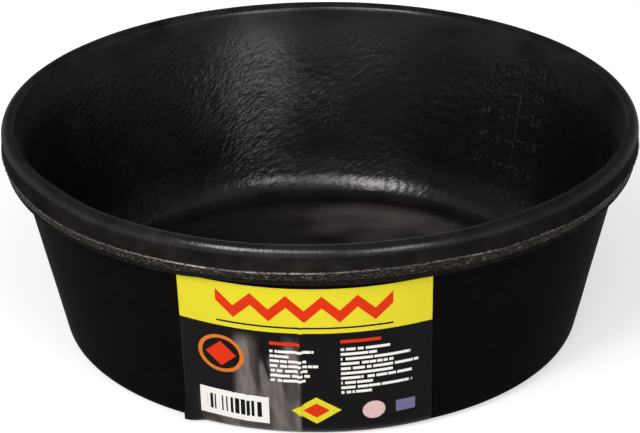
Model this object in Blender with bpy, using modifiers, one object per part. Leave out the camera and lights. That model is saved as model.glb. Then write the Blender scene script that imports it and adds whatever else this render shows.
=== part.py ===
"""A round rubber feed pan: one moulded pan with a rolled rim, and the film label on its front.

Metres, +Z up. The origin is the middle of the base, on the ground. The label faces -Y.
"""
from math import atan, atan2, ceil, cos, degrees, hypot, pi, radians, sin, sqrt

import bmesh
import bpy
from mathutils import Matrix, Vector

# Driving sizes of the pan, in metres
RIM_RADIUS = 0.136          # the parting line, the widest ring of the rim
PAN_HEIGHT = 0.097          # ground to the crest of the rim
BASE_RADIUS = 0.1108        # where the wall's outer line would meet the ground
BASE_CORNER_RADIUS = 0.0076
WALL_UNDER_RIM = 0.0036     # wall thickness just under the rim, measured level
WALL_AT_FLOOR = 0.0064      # wall thickness level with the floor, measured level
FLOOR_THICKNESS = 0.0115
FLOOR_FILLET_RADIUS = 0.0100
CREST_RADIUS = 0.0037       # the rounding from the crest down the inside

# The rim's outer face, from the crest down
CREST_ROUND_DEPTH = 0.0078  # height of the rounding from the crest down the outside
FLANK_HEIGHT = 0.0025       # the upright face between the rounding and the ridge
PARTING_RIDGE = 0.0004      # how far the ridge stands out from the rim's face
PARTING_RIDGE_HALF = 0.0006 # half the ridge's height
TRIM_BAND_HEIGHT = 0.0036   # the cut band under the parting line
TRIM_BAND_INSET = 0.0010    # how far the band leans in at its lower edge
LIP_HEIGHT = 0.0036         # the smooth lip under the cut band, to its underside
LIP_INSET = 0.0029          # how far the lip's underside starts inside the band's lower edge
UNDER_LIP_LEDGE = 0.0031    # the level underside, from the lip in to the wall
UNDER_LIP_FILLET = 0.0009

# The moulded measuring scale on the inside
SCALE_ANGLE = radians(38.6)     # from +X towards +Y
SCALE_STEP_RIGHT = 0.0005       # volume of one mark in cubic metres: half a litre
SCALE_STEP_LEFT = 0.000473176   # two cups
SCALE_LINE_WIDTH = 0.0010
SCALE_TICK_WIDTH = 0.0011
SCALE_TICK_LENGTH = 0.0060
SCALE_RELIEF = 0.0005
SCALE_ROOT = 0.0015             # how far the marks go into the wall
SCALE_TOP_MARGIN = 0.0050       # line above its highest mark
SCALE_FOOT_MARGIN = 0.0040      # line below its lowest mark

# The small pocket that the mould leaves in the wall under the rim
POCKET_ANGLE = radians(-141.1)
POCKET_RADIUS = 0.0011
POCKET_DEPTH = 0.0016
POCKET_BELOW_LIP = 0.0055

# The label, a flat sheet wrapped on the front wall
LABEL_WIDTH = 0.102
LABEL_HEIGHT = 0.0765
LABEL_FILM = 0.00025
LABEL_GAP = 0.0003              # air between the film and the rubber
LABEL_ANGLE = radians(-93.2)    # middle of the label, from +X towards +Y
LABEL_BELOW_LIP = 0.0013        # the sheet's top corners end this far under the lip

# Fineness of the meshes
TURN_STEPS = 96
ROUND_STEPS = 6
SMALL_ROUND_STEPS = 4
LABEL_COLUMNS = 26
LABEL_WALL_ROWS = 6
LABEL_CORNER_STEP = 0.0012      # longest step between rows from the base corner on
POCKET_SIDES = 16
FLOOR_LEVEL_STEPS = 4000        # slices that measure the inside's volume

MERGE = 0.00001
HEIGHT_TOLERANCE = 0.00001

# Places worked out from the driving sizes
PARTING_HEIGHT = PAN_HEIGHT - CREST_ROUND_DEPTH - FLANK_HEIGHT - PARTING_RIDGE_HALF
LIP_UNDERSIDE = PARTING_HEIGHT - PARTING_RIDGE_HALF - TRIM_BAND_HEIGHT - LIP_HEIGHT
WALL_TOP_RADIUS = RIM_RADIUS - PARTING_RIDGE - TRIM_BAND_INSET - LIP_INSET - UNDER_LIP_LEDGE
WALL_SLOPE = (WALL_TOP_RADIUS - BASE_RADIUS) / LIP_UNDERSIDE
INSIDE_TOP_RADIUS = WALL_TOP_RADIUS - WALL_UNDER_RIM
INSIDE_FLOOR_RADIUS = BASE_RADIUS + WALL_SLOPE * FLOOR_THICKNESS - WALL_AT_FLOOR
INSIDE_SLOPE = (INSIDE_TOP_RADIUS - INSIDE_FLOOR_RADIUS) / (LIP_UNDERSIDE - FLOOR_THICKNESS)


def outside_radius(height):
    """Radius of the wall's outer face at a height above the ground."""
    return BASE_RADIUS + WALL_SLOPE * height


def inside_radius(height):
    """Radius of the wall's inner face at a height above the ground."""
    return INSIDE_FLOOR_RADIUS + INSIDE_SLOPE * (height - FLOOR_THICKNESS)


def arc(centre, radius, start, end, steps, radius_z=None):
    """Points of a round stretch of the section, in radius and height, from one angle to another."""
    radius_z = radius if radius_z is None else radius_z
    points = []
    for step in range(steps + 1):
        angle = start + (end - start) * step / steps
        points.append((centre[0] + radius * cos(angle), centre[1] + radius_z * sin(angle)))
    return points


def inside_section():
    """Floor, fillet, inner wall and the inner half of the crest, from the axis up to the crest."""
    lean = atan(INSIDE_SLOPE)
    fillet_height = FLOOR_THICKNESS + FLOOR_FILLET_RADIUS
    fillet_middle = inside_radius(fillet_height) - FLOOR_FILLET_RADIUS / cos(lean)
    crest_height = PAN_HEIGHT - CREST_RADIUS
    crest_middle = inside_radius(crest_height) + CREST_RADIUS / cos(lean)
    points = [(0.0, FLOOR_THICKNESS)]
    points += arc((fillet_middle, fillet_height), FLOOR_FILLET_RADIUS, -pi / 2, -lean, ROUND_STEPS)
    points += arc((crest_middle, crest_height), CREST_RADIUS, pi - lean, pi / 2, ROUND_STEPS)
    return points


def rim_section(crest_middle):
    """The rim's outer face: crest rounding, parting ridge, cut band, and the lip's underside."""
    face_radius = RIM_RADIUS - PARTING_RIDGE
    round_foot = PAN_HEIGHT - CREST_ROUND_DEPTH
    band_top = PARTING_HEIGHT - PARTING_RIDGE_HALF
    band_foot = band_top - TRIM_BAND_HEIGHT
    lip_radius = face_radius - TRIM_BAND_INSET
    points = arc((crest_middle, round_foot), face_radius - crest_middle, pi / 2, 0.0, ROUND_STEPS,
                 radius_z=CREST_ROUND_DEPTH)[1:]
    points += [(face_radius, PARTING_HEIGHT + PARTING_RIDGE_HALF), (RIM_RADIUS, PARTING_HEIGHT)]
    points += [(face_radius, band_top), (lip_radius, band_foot)]
    points += arc((lip_radius - LIP_INSET, band_foot), LIP_INSET, 0.0, -pi / 2, SMALL_ROUND_STEPS,
                  radius_z=LIP_HEIGHT)[1:]
    return points


def outside_section():
    """The fillet under the lip, the outer wall, the base corner and the base, down to the axis."""
    lean = atan(WALL_SLOPE)
    fillet_height = LIP_UNDERSIDE - UNDER_LIP_FILLET
    fillet_middle = outside_radius(fillet_height) + UNDER_LIP_FILLET / cos(lean)
    corner_middle = outside_radius(BASE_CORNER_RADIUS) - BASE_CORNER_RADIUS / cos(lean)
    points = arc((fillet_middle, fillet_height), UNDER_LIP_FILLET, pi / 2, pi - lean, SMALL_ROUND_STEPS)
    points += arc((corner_middle, BASE_CORNER_RADIUS), BASE_CORNER_RADIUS, -lean, -pi / 2, ROUND_STEPS)
    points.append((0.0, 0.0))
    return points


def pan_section():
    """The pan's whole half section, from the middle of the floor to the middle of the base."""
    inside = inside_section()
    crest_middle = inside[-1][0]
    return inside + rim_section(crest_middle) + outside_section()


def inside_volume(height):
    """Volume that the pan holds up to a height, with the floor's fillet taken off."""
    step = (height - FLOOR_THICKNESS) / FLOOR_LEVEL_STEPS
    lean = atan(INSIDE_SLOPE)
    fillet_height = FLOOR_THICKNESS + FLOOR_FILLET_RADIUS
    fillet_middle = inside_radius(fillet_height) - FLOOR_FILLET_RADIUS / cos(lean)
    fillet_top = fillet_height - FLOOR_FILLET_RADIUS * sin(lean)
    volume = 0.0
    for index in range(FLOOR_LEVEL_STEPS):
        level = FLOOR_THICKNESS + step * (index + 0.5)
        radius = inside_radius(level)
        if level < fillet_top:
            radius = fillet_middle + (FLOOR_FILLET_RADIUS ** 2 - (fillet_height - level) ** 2) ** 0.5
        volume += pi * radius * radius * step
    return volume


def height_of_volume(volume):
    """Height at which the pan holds a volume, found by halving."""
    low = FLOOR_THICKNESS
    high = PAN_HEIGHT
    while high - low > HEIGHT_TOLERANCE:
        middle = (low + high) / 2
        if inside_volume(middle) < volume:
            low = middle
        else:
            high = middle
    return (low + high) / 2


def mark_count():
    """How many of the larger steps the wall has room for, with the line's end above the last."""
    step = max(SCALE_STEP_LEFT, SCALE_STEP_RIGHT)
    room = PAN_HEIGHT - CREST_RADIUS - SCALE_TOP_MARGIN
    return int(inside_volume(room) / step)


def make_material(name, colour, roughness, metallic=0.0):
    """A plain Principled material."""
    material = bpy.data.materials.new(name)
    material.use_nodes = True
    shader = material.node_tree.nodes["Principled BSDF"]
    shader.inputs["Base Color"].default_value = (*colour, 1.0)
    shader.inputs["Roughness"].default_value = roughness
    shader.inputs["Metallic"].default_value = metallic
    material.diffuse_color = (*colour, 1.0)
    return material


def new_object(name, mesh, collection):
    """Links a new object for a mesh into a collection."""
    piece = bpy.data.objects.new(name, mesh)
    collection.objects.link(piece)
    return piece


def hide_cutter(piece):
    """Marks a piece as a cutter or a guide, which isn't part of the pan."""
    piece.hide_render = True
    piece.display_type = "WIRE"


def add_boolean(piece, tool, operation):
    """Cuts or joins a tool into a piece with the exact solver."""
    boolean = piece.modifiers.new(operation.lower() + "_" + tool.name, "BOOLEAN")
    boolean.operation = operation
    boolean.solver = "EXACT"
    boolean.object = tool


def wall_frame(angle, height, radius, slope):
    """Axes on a leaning wall: X level along it, Y up its slope, Z out of it, away from the axis."""
    lean = atan(slope)
    outward = Vector((cos(angle), sin(angle), 0.0))
    along = Vector((-sin(angle), cos(angle), 0.0))
    normal = outward * cos(lean) - Vector((0.0, 0.0, 1.0)) * sin(lean)
    upward = normal.cross(along)
    axes = Matrix((along, upward, normal)).transposed()
    return Matrix.Translation(outward * radius + Vector((0.0, 0.0, height))) @ axes.to_4x4()


def scale_outline(low, high, slant):
    """Outline of the measuring marks on the flat, a line with a comb of ticks down each side."""
    half_line = SCALE_LINE_WIDTH / 2
    half_tick = SCALE_TICK_WIDTH / 2
    outline = []
    for side, volume_step in ((1.0, SCALE_STEP_LEFT), (-1.0, SCALE_STEP_RIGHT)):
        run = [(side * half_line, 0.0)]
        for mark in range(1, mark_count() + 1):
            rise = (height_of_volume(mark * volume_step) - low) * slant
            run.append((side * half_line, rise - half_tick))
            run.append((side * (half_line + SCALE_TICK_LENGTH), rise - half_tick))
            run.append((side * (half_line + SCALE_TICK_LENGTH), rise + half_tick))
            run.append((side * half_line, rise + half_tick))
        run.append((side * half_line, (high - low) * slant))
        outline += run if side > 0 else run[::-1]
    return outline


def make_scale_marks(collection):
    """The raised measuring marks, a thin comb that is let into the inner wall."""
    low = height_of_volume(min(SCALE_STEP_LEFT, SCALE_STEP_RIGHT)) - SCALE_FOOT_MARGIN
    high = height_of_volume(mark_count() * max(SCALE_STEP_LEFT, SCALE_STEP_RIGHT)) + SCALE_TOP_MARGIN
    slant = hypot(1.0, INSIDE_SLOPE)
    curve = bpy.data.curves.new("scale_outline", "CURVE")
    curve.dimensions = "2D"
    curve.fill_mode = "BOTH"
    curve.extrude = (SCALE_RELIEF + SCALE_ROOT) / 2
    outline = scale_outline(low, high, slant)
    spline = curve.splines.new("POLY")
    spline.points.add(len(outline) - 1)
    for point, (x, y) in zip(spline.points, outline):
        point.co = (x, y, 0.0, 1.0)
    spline.use_cyclic_u = True
    flat = new_object("scale_outline", curve, collection)
    bpy.context.view_layer.update()
    evaluated = flat.evaluated_get(bpy.context.evaluated_depsgraph_get())
    mesh = bpy.data.meshes.new_from_object(evaluated)
    bpy.data.objects.remove(flat)
    work = bmesh.new()
    work.from_mesh(mesh)
    bmesh.ops.remove_doubles(work, verts=work.verts, dist=MERGE)
    work.to_mesh(mesh)
    work.free()
    marks = new_object("scale_marks", mesh, collection)
    frame = wall_frame(SCALE_ANGLE, low, inside_radius(low), INSIDE_SLOPE)
    marks.matrix_world = frame @ Matrix.Translation((0.0, 0.0, (SCALE_ROOT - SCALE_RELIEF) / 2))
    hide_cutter(marks)
    return marks


def make_pocket_cutter(collection):
    """The round cutter of the small pocket in the outer wall."""
    height = LIP_UNDERSIDE - POCKET_BELOW_LIP
    mesh = bpy.data.meshes.new("pocket_cutter")
    work = bmesh.new()
    bmesh.ops.create_cone(work, cap_ends=True, segments=POCKET_SIDES, radius1=POCKET_RADIUS,
                          radius2=POCKET_RADIUS, depth=2 * POCKET_DEPTH)
    work.to_mesh(mesh)
    work.free()
    cutter = new_object("pocket_cutter", mesh, collection)
    cutter.matrix_world = wall_frame(POCKET_ANGLE, height, outside_radius(height), WALL_SLOPE)
    hide_cutter(cutter)
    return cutter


def turn(name, section, collection):
    """A turned piece from its half section, with a Screw modifier about Z."""
    mesh = bpy.data.meshes.new(name)
    points = [(radius, 0.0, height) for radius, height in section]
    edges = [(index, index + 1) for index in range(len(points) - 1)]
    mesh.from_pydata(points, edges, [])
    piece = new_object(name, mesh, collection)
    screw = piece.modifiers.new("turn", "SCREW")
    screw.axis = "Z"
    screw.steps = TURN_STEPS
    screw.render_steps = TURN_STEPS
    screw.use_merge_vertices = True
    screw.merge_threshold = MERGE
    screw.use_smooth_shade = True
    return piece


def make_pan(collection, cutters):
    """The pan, one rubber moulding, with its scale and pocket."""
    pan = turn("pan", pan_section(), collection)
    add_boolean(pan, make_scale_marks(cutters), "UNION")
    add_boolean(pan, make_pocket_cutter(cutters), "DIFFERENCE")
    rubber = make_material("black_rubber", (0.020, 0.019, 0.019), 0.50)
    pan.data.materials.append(rubber)
    return pan


def label_top_slant():
    """Distance along the wall from its apex to the middle of the label's top edge."""
    top_corner_slant = outside_radius(LIP_UNDERSIDE - LABEL_BELOW_LIP) / sin(atan(WALL_SLOPE))
    return sqrt(top_corner_slant ** 2 - (LABEL_WIDTH / 2) ** 2)


def corner_slant():
    """Distance along the wall from its apex to where the base corner's rounding starts."""
    lean = atan(WALL_SLOPE)
    corner_middle = outside_radius(BASE_CORNER_RADIUS) - BASE_CORNER_RADIUS / cos(lean)
    return (corner_middle + BASE_CORNER_RADIUS * cos(lean)) / sin(lean)


def label_point(across, down, lift):
    """A point of the label's sheet on the pan: on the wall's cone, round the base corner, then under it.

    The sheet is flat, so it is laid on the unrolled cone, where the wall's apex is a single point.
    """
    lean = atan(WALL_SLOPE)
    slant = hypot(across, label_top_slant() - down)
    angle = LABEL_ANGLE + atan2(across, label_top_slant() - down) / sin(lean)
    corner_middle = outside_radius(BASE_CORNER_RADIUS) - BASE_CORNER_RADIUS / cos(lean)
    turned = -lean - (corner_slant() - slant) / BASE_CORNER_RADIUS
    if slant >= corner_slant():
        radius = slant * sin(lean) + lift * cos(lean)
        height = (slant * sin(lean) - BASE_RADIUS) / WALL_SLOPE - lift * sin(lean)
    elif turned >= -pi / 2:
        radius = corner_middle + (BASE_CORNER_RADIUS + lift) * cos(turned)
        height = BASE_CORNER_RADIUS + (BASE_CORNER_RADIUS + lift) * sin(turned)
    else:
        radius = corner_middle + (turned + pi / 2) * BASE_CORNER_RADIUS
        height = -lift
    return (radius * cos(angle), radius * sin(angle), height)


def label_row_depths():
    """How far down the sheet each row lies: a few rows on the wall, close ones from the corner on."""
    wall_part = min(label_top_slant() - corner_slant(), LABEL_HEIGHT)
    corner_part = LABEL_HEIGHT - wall_part
    corner_rows = ceil(corner_part / LABEL_CORNER_STEP)
    depths = [wall_part * row / LABEL_WALL_ROWS for row in range(LABEL_WALL_ROWS + 1)]
    depths += [wall_part + corner_part * row / corner_rows for row in range(1, corner_rows + 1)]
    return depths


def make_label(collection):
    """The label, a thin film that follows the front wall and turns in under the base corner."""
    depths = label_row_depths()
    rows = len(depths) - 1
    work = bmesh.new()
    bmesh.ops.create_grid(work, x_segments=LABEL_COLUMNS, y_segments=rows, size=0.5)
    for vertex in work.verts:
        across = vertex.co.x * LABEL_WIDTH
        down = depths[round((0.5 - vertex.co.y) * rows)]
        vertex.co = label_point(across, down, LABEL_GAP)
    mesh = bpy.data.meshes.new("label")
    work.to_mesh(mesh)
    work.free()
    mesh.shade_smooth()
    label = new_object("label", mesh, collection)
    film = label.modifiers.new("film", "SOLIDIFY")
    film.thickness = LABEL_FILM
    film.offset = 1.0
    film.use_even_offset = True
    label.data.materials.append(make_material("label_film", (0.012, 0.012, 0.012), 0.22))
    return label


def report_sizes():
    """Prints the sizes that follow from the driving ones."""
    print("wall leans", round(degrees(atan(WALL_SLOPE)), 2), "deg outside and",
          round(degrees(atan(INSIDE_SLOPE)), 2), "deg inside")
    print("holds", round(inside_volume(PAN_HEIGHT) * 1000, 3), "litres to the crest")
    for mark in range(1, mark_count() + 1):
        print("mark", mark, "at", round(height_of_volume(mark * SCALE_STEP_RIGHT) * 1000, 1), "mm")


def main():
    for piece in list(bpy.data.objects):
        bpy.data.objects.remove(piece, do_unlink=True)
    parts = bpy.data.collections.new("feed_pan")
    cutters = bpy.data.collections.new("cutters")
    bpy.context.scene.collection.children.link(parts)
    bpy.context.scene.collection.children.link(cutters)
    make_pan(parts, cutters)
    make_label(parts)
    report_sizes()


main()
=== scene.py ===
"""A round moulded rubber feed pan, dressed on its packed solids.

The moulding with its torn parting line, the raised measuring scale inside it and the creased film
label on its front stand for the solids. Metres, +Z up, the label towards -Y.
"""

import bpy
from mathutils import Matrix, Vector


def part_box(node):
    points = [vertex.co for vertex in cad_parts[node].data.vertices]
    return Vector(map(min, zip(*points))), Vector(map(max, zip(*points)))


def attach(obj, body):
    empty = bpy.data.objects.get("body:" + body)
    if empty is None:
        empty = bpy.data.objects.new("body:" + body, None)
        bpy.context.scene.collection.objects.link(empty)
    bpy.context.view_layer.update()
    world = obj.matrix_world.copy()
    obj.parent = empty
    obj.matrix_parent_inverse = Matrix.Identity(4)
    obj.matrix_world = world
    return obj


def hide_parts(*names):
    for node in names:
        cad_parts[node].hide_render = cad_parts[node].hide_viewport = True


bl_info = {
    "name": "Rubber Feed Pan",
    "version": (1, 0, 0),
    "blender": (4, 5, 0),
    "location": "3D View > Sidebar > Feed Pan",
    "description": "Adds a moulded rubber feed pan with a measuring scale, a film label and a studio",
    "category": "Add Mesh",
}

from functools import partialmethod
from math import atan, atan2, ceil, cos, degrees, exp, hypot, pi, radians, sin, sqrt

import bmesh
import bpy
import numpy as np
from bpy.props import FloatProperty, FloatVectorProperty, IntProperty, PointerProperty
from bpy.types import Operator, Panel, PropertyGroup
from mathutils import Matrix, Vector, noise

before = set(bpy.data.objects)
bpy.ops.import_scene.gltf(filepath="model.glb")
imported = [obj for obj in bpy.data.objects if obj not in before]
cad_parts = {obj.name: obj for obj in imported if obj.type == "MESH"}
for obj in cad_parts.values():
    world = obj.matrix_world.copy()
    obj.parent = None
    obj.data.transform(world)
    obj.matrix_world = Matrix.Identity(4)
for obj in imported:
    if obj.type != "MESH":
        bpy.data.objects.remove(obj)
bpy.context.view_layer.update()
PAN_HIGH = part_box("pan")[1]
MILLIMETRE = 0.001


def number(name, description, default, **limits):
    """A plain number for a property group."""
    return FloatProperty(name=name, description=description, default=default, **limits)


def length(name, description, default):
    """A size in metres."""
    return number(name, description, default, unit="LENGTH", precision=5)


def turn(name, description, degrees):
    """An angle, given in degrees."""
    return number(name, description, radians(degrees), subtype="ANGLE")


def share(name, description, default):
    """A plain number from 0 to 1."""
    return number(name, description, default, min=0.0, max=1.0, subtype="FACTOR")


def colour(name, description, default):
    """A linear colour."""
    return FloatVectorProperty(name=name, description=description, default=default, subtype="COLOR",
                               min=0.0, max=1.0)


class FeedPanSizes(PropertyGroup):
    """Sizes of the moulding's section."""

    rim_radius: length("Rim radius", "Middle to the parting ridge", PAN_HIGH.x)
    height: length("Height", "Ground to the crest of the rim", PAN_HIGH.z)
    base_radius: length("Base radius", "Where the wall's outer line meets the ground", 0.1108)
    base_corner: length("Base corner", "Radius between wall and base", 0.0076)
    wall_under_rim: length("Wall under rim", "Wall thickness just under the rim", 0.0036)
    wall_at_floor: length("Wall at floor", "Wall thickness level with the floor", 0.0064)
    floor: length("Floor", "Thickness of the floor", 0.0115)
    fillet: length("Floor fillet", "Tight radius at the fillet's foot", 0.0060)
    fillet_wide: length("Wide fillet", "Radius where the fillet eases into the wall", 0.0200)
    fillet_turn: turn("Fillet turn", "Slope where the tight radius gives way to the wide one", 40.0)
    gutter: length("Gutter", "How far the floor falls towards the wall", 0.0018)
    gutter_width: length("Gutter width", "Width of the floor's fall", 0.0120)
    crest: length("Crest", "Radius from the crest down the inside", 0.0031)
    round_depth: length("Crest rounding", "Height of the rounding down the outside", 0.0042)
    flank: length("Flank", "Height of the upright face over the ridge", 0.00635)
    ridge: length("Ridge", "How far the parting ridge stands out", 0.0004)
    ridge_half: length("Ridge half", "Half the height of the parting ridge", 0.00035)
    band_height: length("Cut band height", "Torn band under the parting line", 0.00385)
    band_inset: length("Cut band inset", "How far the band leans in at its foot", 0.0010)
    lip_height: length("Lip height", "Smooth lip under the band", 0.0036)
    lip_inset: length("Lip inset", "How far the lip's underside starts inside the band", 0.0029)
    ledge: length("Ledge", "Level underside from the lip in to the wall", 0.0031)
    under_lip: length("Under-lip fillet", "Radius where the ledge meets the wall", 0.0009)
    pocket_angle: turn("Pocket angle", "Place of the small pocket, from +X", -141.1)
    pocket_below_lip: length("Pocket below lip", "Lip's underside to the pocket's middle", 0.0055)
    pocket_radius: length("Pocket radius", "Radius of the small pocket", 0.0011)
    pocket_depth: length("Pocket depth", "How far the pocket goes into the wall", 0.0016)
    nub_angle: turn("Nub angle", "Place of the moulded nub across the band, from +X", -49.2)
    nub_half: length("Nub half width", "Half the width of the moulded nub", 0.0008)
    columns: IntProperty(name="Columns", description="Columns of the mesh round the pan", default=720,
                         min=96, max=2000)


class FeedPanRubber(PropertyGroup):
    """Colours and surface of the rubber."""

    dark: colour("Rubber", "The rubber's own black", (0.0040, 0.0034, 0.0034))
    bloom: colour("Bloom", "The greyer black of the mottling", (0.0110, 0.0093, 0.0090))
    # Partly rubbed rubber, partly painted light: this pale tone also paints sheen and lifts shaded parts,
    # and is held back to paint shade
    worn: colour("Worn rubber", "Where the rubber is rubbed", (0.0200, 0.0176, 0.0170))
    # Partly rubbed, partly painted highlight where the raised tops catch the light
    raised: colour("Raised marks", "The rubbed tops of the measuring marks", (0.036, 0.033, 0.032))
    torn: colour("Torn rubber", "The cut band under the parting line", (0.0118, 0.0100, 0.0089))
    # Partly painted highlight: this pale tone also stands for the lamps' highlights on the parting ridge
    fibre_and_glint: colour("Fibres", "Pale fibre ends and chips on the parting line", (0.42, 0.385, 0.35))
    # Painted sheen: a paler patch on the floor that stands for its reflection
    floor_sheen_tone: colour("Pale patch", "The dusty patch on the floor", (0.118, 0.103, 0.099))
    specular: share("Specular level", "How strongly the inside and the rim reflect", 0.043)
    matt_specular: share("Matt specular level", "How strongly the dull outside reflects", 0.002)
    polish: number("Polish", "Refractive index of the rubbed skin", 1.50)
    polish_roughness: share("Polish roughness", "Roughness of the rubbed skin", 0.22)
    swell: length("Swell", "Depth of the broad waves in the walls", 0.00012)
    wrinkle: length("Wrinkle", "Depth of the wrinkles inside", 0.00016)
    tear: length("Tear", "Depth of the torn texture on the cut band", 0.00022)
    chip: length("Chip", "Depth of the chips in the parting ridge", 0.00034)


class FeedPanScale(PropertyGroup):
    """The raised measuring scale inside."""

    angle: turn("Angle", "Place of the scale's foot, from +X", 38.9)
    lean: turn("Lean", "How far the line swings round for each full height of the pan", 2.9)
    step_right: number("Right step", "Volume of a right mark, in litres", 0.5)
    step_left: number("Left step", "Volume of a left mark, in litres", 0.473176)
    marks: IntProperty(name="Marks", description="Marks on each side", default=6, min=1, max=12)
    line_width: length("Line width", "Width of the upright line", 0.0010)
    tick_width: length("Tick width", "Width of a mark", 0.0011)
    tick_length: length("Tick length", "Length of a mark", 0.0060)
    relief: length("Relief", "How far the marks stand out of the wall", 0.0005)
    top_margin: length("Top margin", "Line above its highest mark", 0.0050)
    foot_margin: length("Foot margin", "Line below its lowest mark", 0.0040)
    digit_height: length("Digit height", "Height of the raised numbers", 0.0044)
    digit_gap: length("Digit gap", "Mark's end to its number", 0.0014)


class FeedPanLabel(PropertyGroup):
    """Sizes and colours of the printed film."""

    width: length("Width", "Width of the sheet", 0.102)
    height: length("Height", "Height of the sheet", 0.0765)
    film: length("Film", "Thickness of the film", 0.00020)
    gap: length("Gap", "Air between film and rubber", 0.00030)
    angle: turn("Angle", "Middle of the sheet, from +X", -93.2)
    below_lip: length("Below lip", "The sheet's top corners end this far under the lip", 0.0013)
    crease: length("Crease", "Height of the main crease", 0.00055)
    curl: length("Curl", "How far the lower left corner stands off", 0.0022)
    black: colour("Black", "The film's ground colour", (0.0050, 0.0045, 0.0048))
    yellow: colour("Yellow", "The band along the top", (0.71, 0.645, 0.028))
    red: colour("Red", "The ribbon on the band", (0.66, 0.034, 0.006))
    orange: colour("Orange", "The disc's ring", (0.66, 0.175, 0.022))
    white: colour("White", "Dashes and plate", (0.84, 0.84, 0.82))
    pink: colour("Pink", "The small disc", (0.72, 0.50, 0.49))
    blue: colour("Blue", "The small box", (0.17, 0.15, 0.31))
    # Painted sheen: a paler film tone that stands for the film's reflection
    film_sheen: colour("Silvering", "The film where it has let go of the rubber", (0.200, 0.176, 0.168))
    roughness: share("Roughness", "Roughness of the film", 0.24)
    specular: share("Specular level", "How strongly the film reflects", 0.045)


class FeedPanStage(PropertyGroup):
    """Floor, light and camera."""

    floor_radius: length("Floor radius", "Radius of the pale floor", 6.0)
    floor_tone: share("Floor tone", "Reflectance of the floor", 0.80)
    ambient: number("Ambient", "Strength of the light from all round", 0.22)
    ceiling: share("Ceiling", "Tone of the studio's ceiling against its walls", 0.22)
    camera_distance: length("Camera distance", "Middle of the rim to the camera", 1.088)
    camera_rise: turn("Camera rise", "Elevation of the camera over the rim", 22.83)
    camera_roll: turn("Camera roll", "Clockwise turn of the camera", 0.55)
    rim_level: length("Rim level", "Height that the camera's distance is measured to", 0.0891)
    aim_height: length("Aim height", "Height on the axis in the middle of the picture", 0.0462)
    lens: number("Lens", "Focal length in millimetres", 142.8)
    shift: number("Shift", "Sideways shift of the picture", -0.0012)


def smooth(low, high, value):
    """0 below low, 1 above high, and a smooth rise between."""
    part = min(1.0, max(0.0, (value - low) / (high - low)))
    return part * part * (3.0 - 2.0 * part)


def window(value, start, full, last, end):
    """1 from full to last, 0 before the start and past the end."""
    return smooth(start, full, value) * (1.0 - smooth(last, end, value))


def bell(value, middle, width):
    """1 at the middle, and a smooth fall to both sides."""
    return exp(-((value - middle) / width) ** 2)


def ripple(x, y=0.0, z=0.0):
    """Blender's smooth noise at a place, from -1 to 1."""
    return noise.noise(Vector((x, y, z)))


def arc(centre, radius, start, end, radius_z=None, steps=24):
    """Points of a round stretch of the section, in radius and height."""
    radius_z = radius_z or radius
    angles = [start + (end - start) * step / steps for step in range(steps + 1)]
    return [(centre[0] + radius * cos(angle), centre[1] + radius_z * sin(angle)) for angle in angles]


def spread(points, step):
    """Points at even distances along a run, at most a step apart, both ends kept."""
    run = np.array(points)
    travelled = np.concatenate([[0.0], np.cumsum(np.hypot(*np.diff(run, axis=0).T))])
    places = np.linspace(0.0, travelled[-1], max(2, ceil(travelled[-1] / step) + 1))
    return np.stack([np.interp(places, travelled, run[:, axis]) for axis in (0, 1)], axis=-1)


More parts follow.
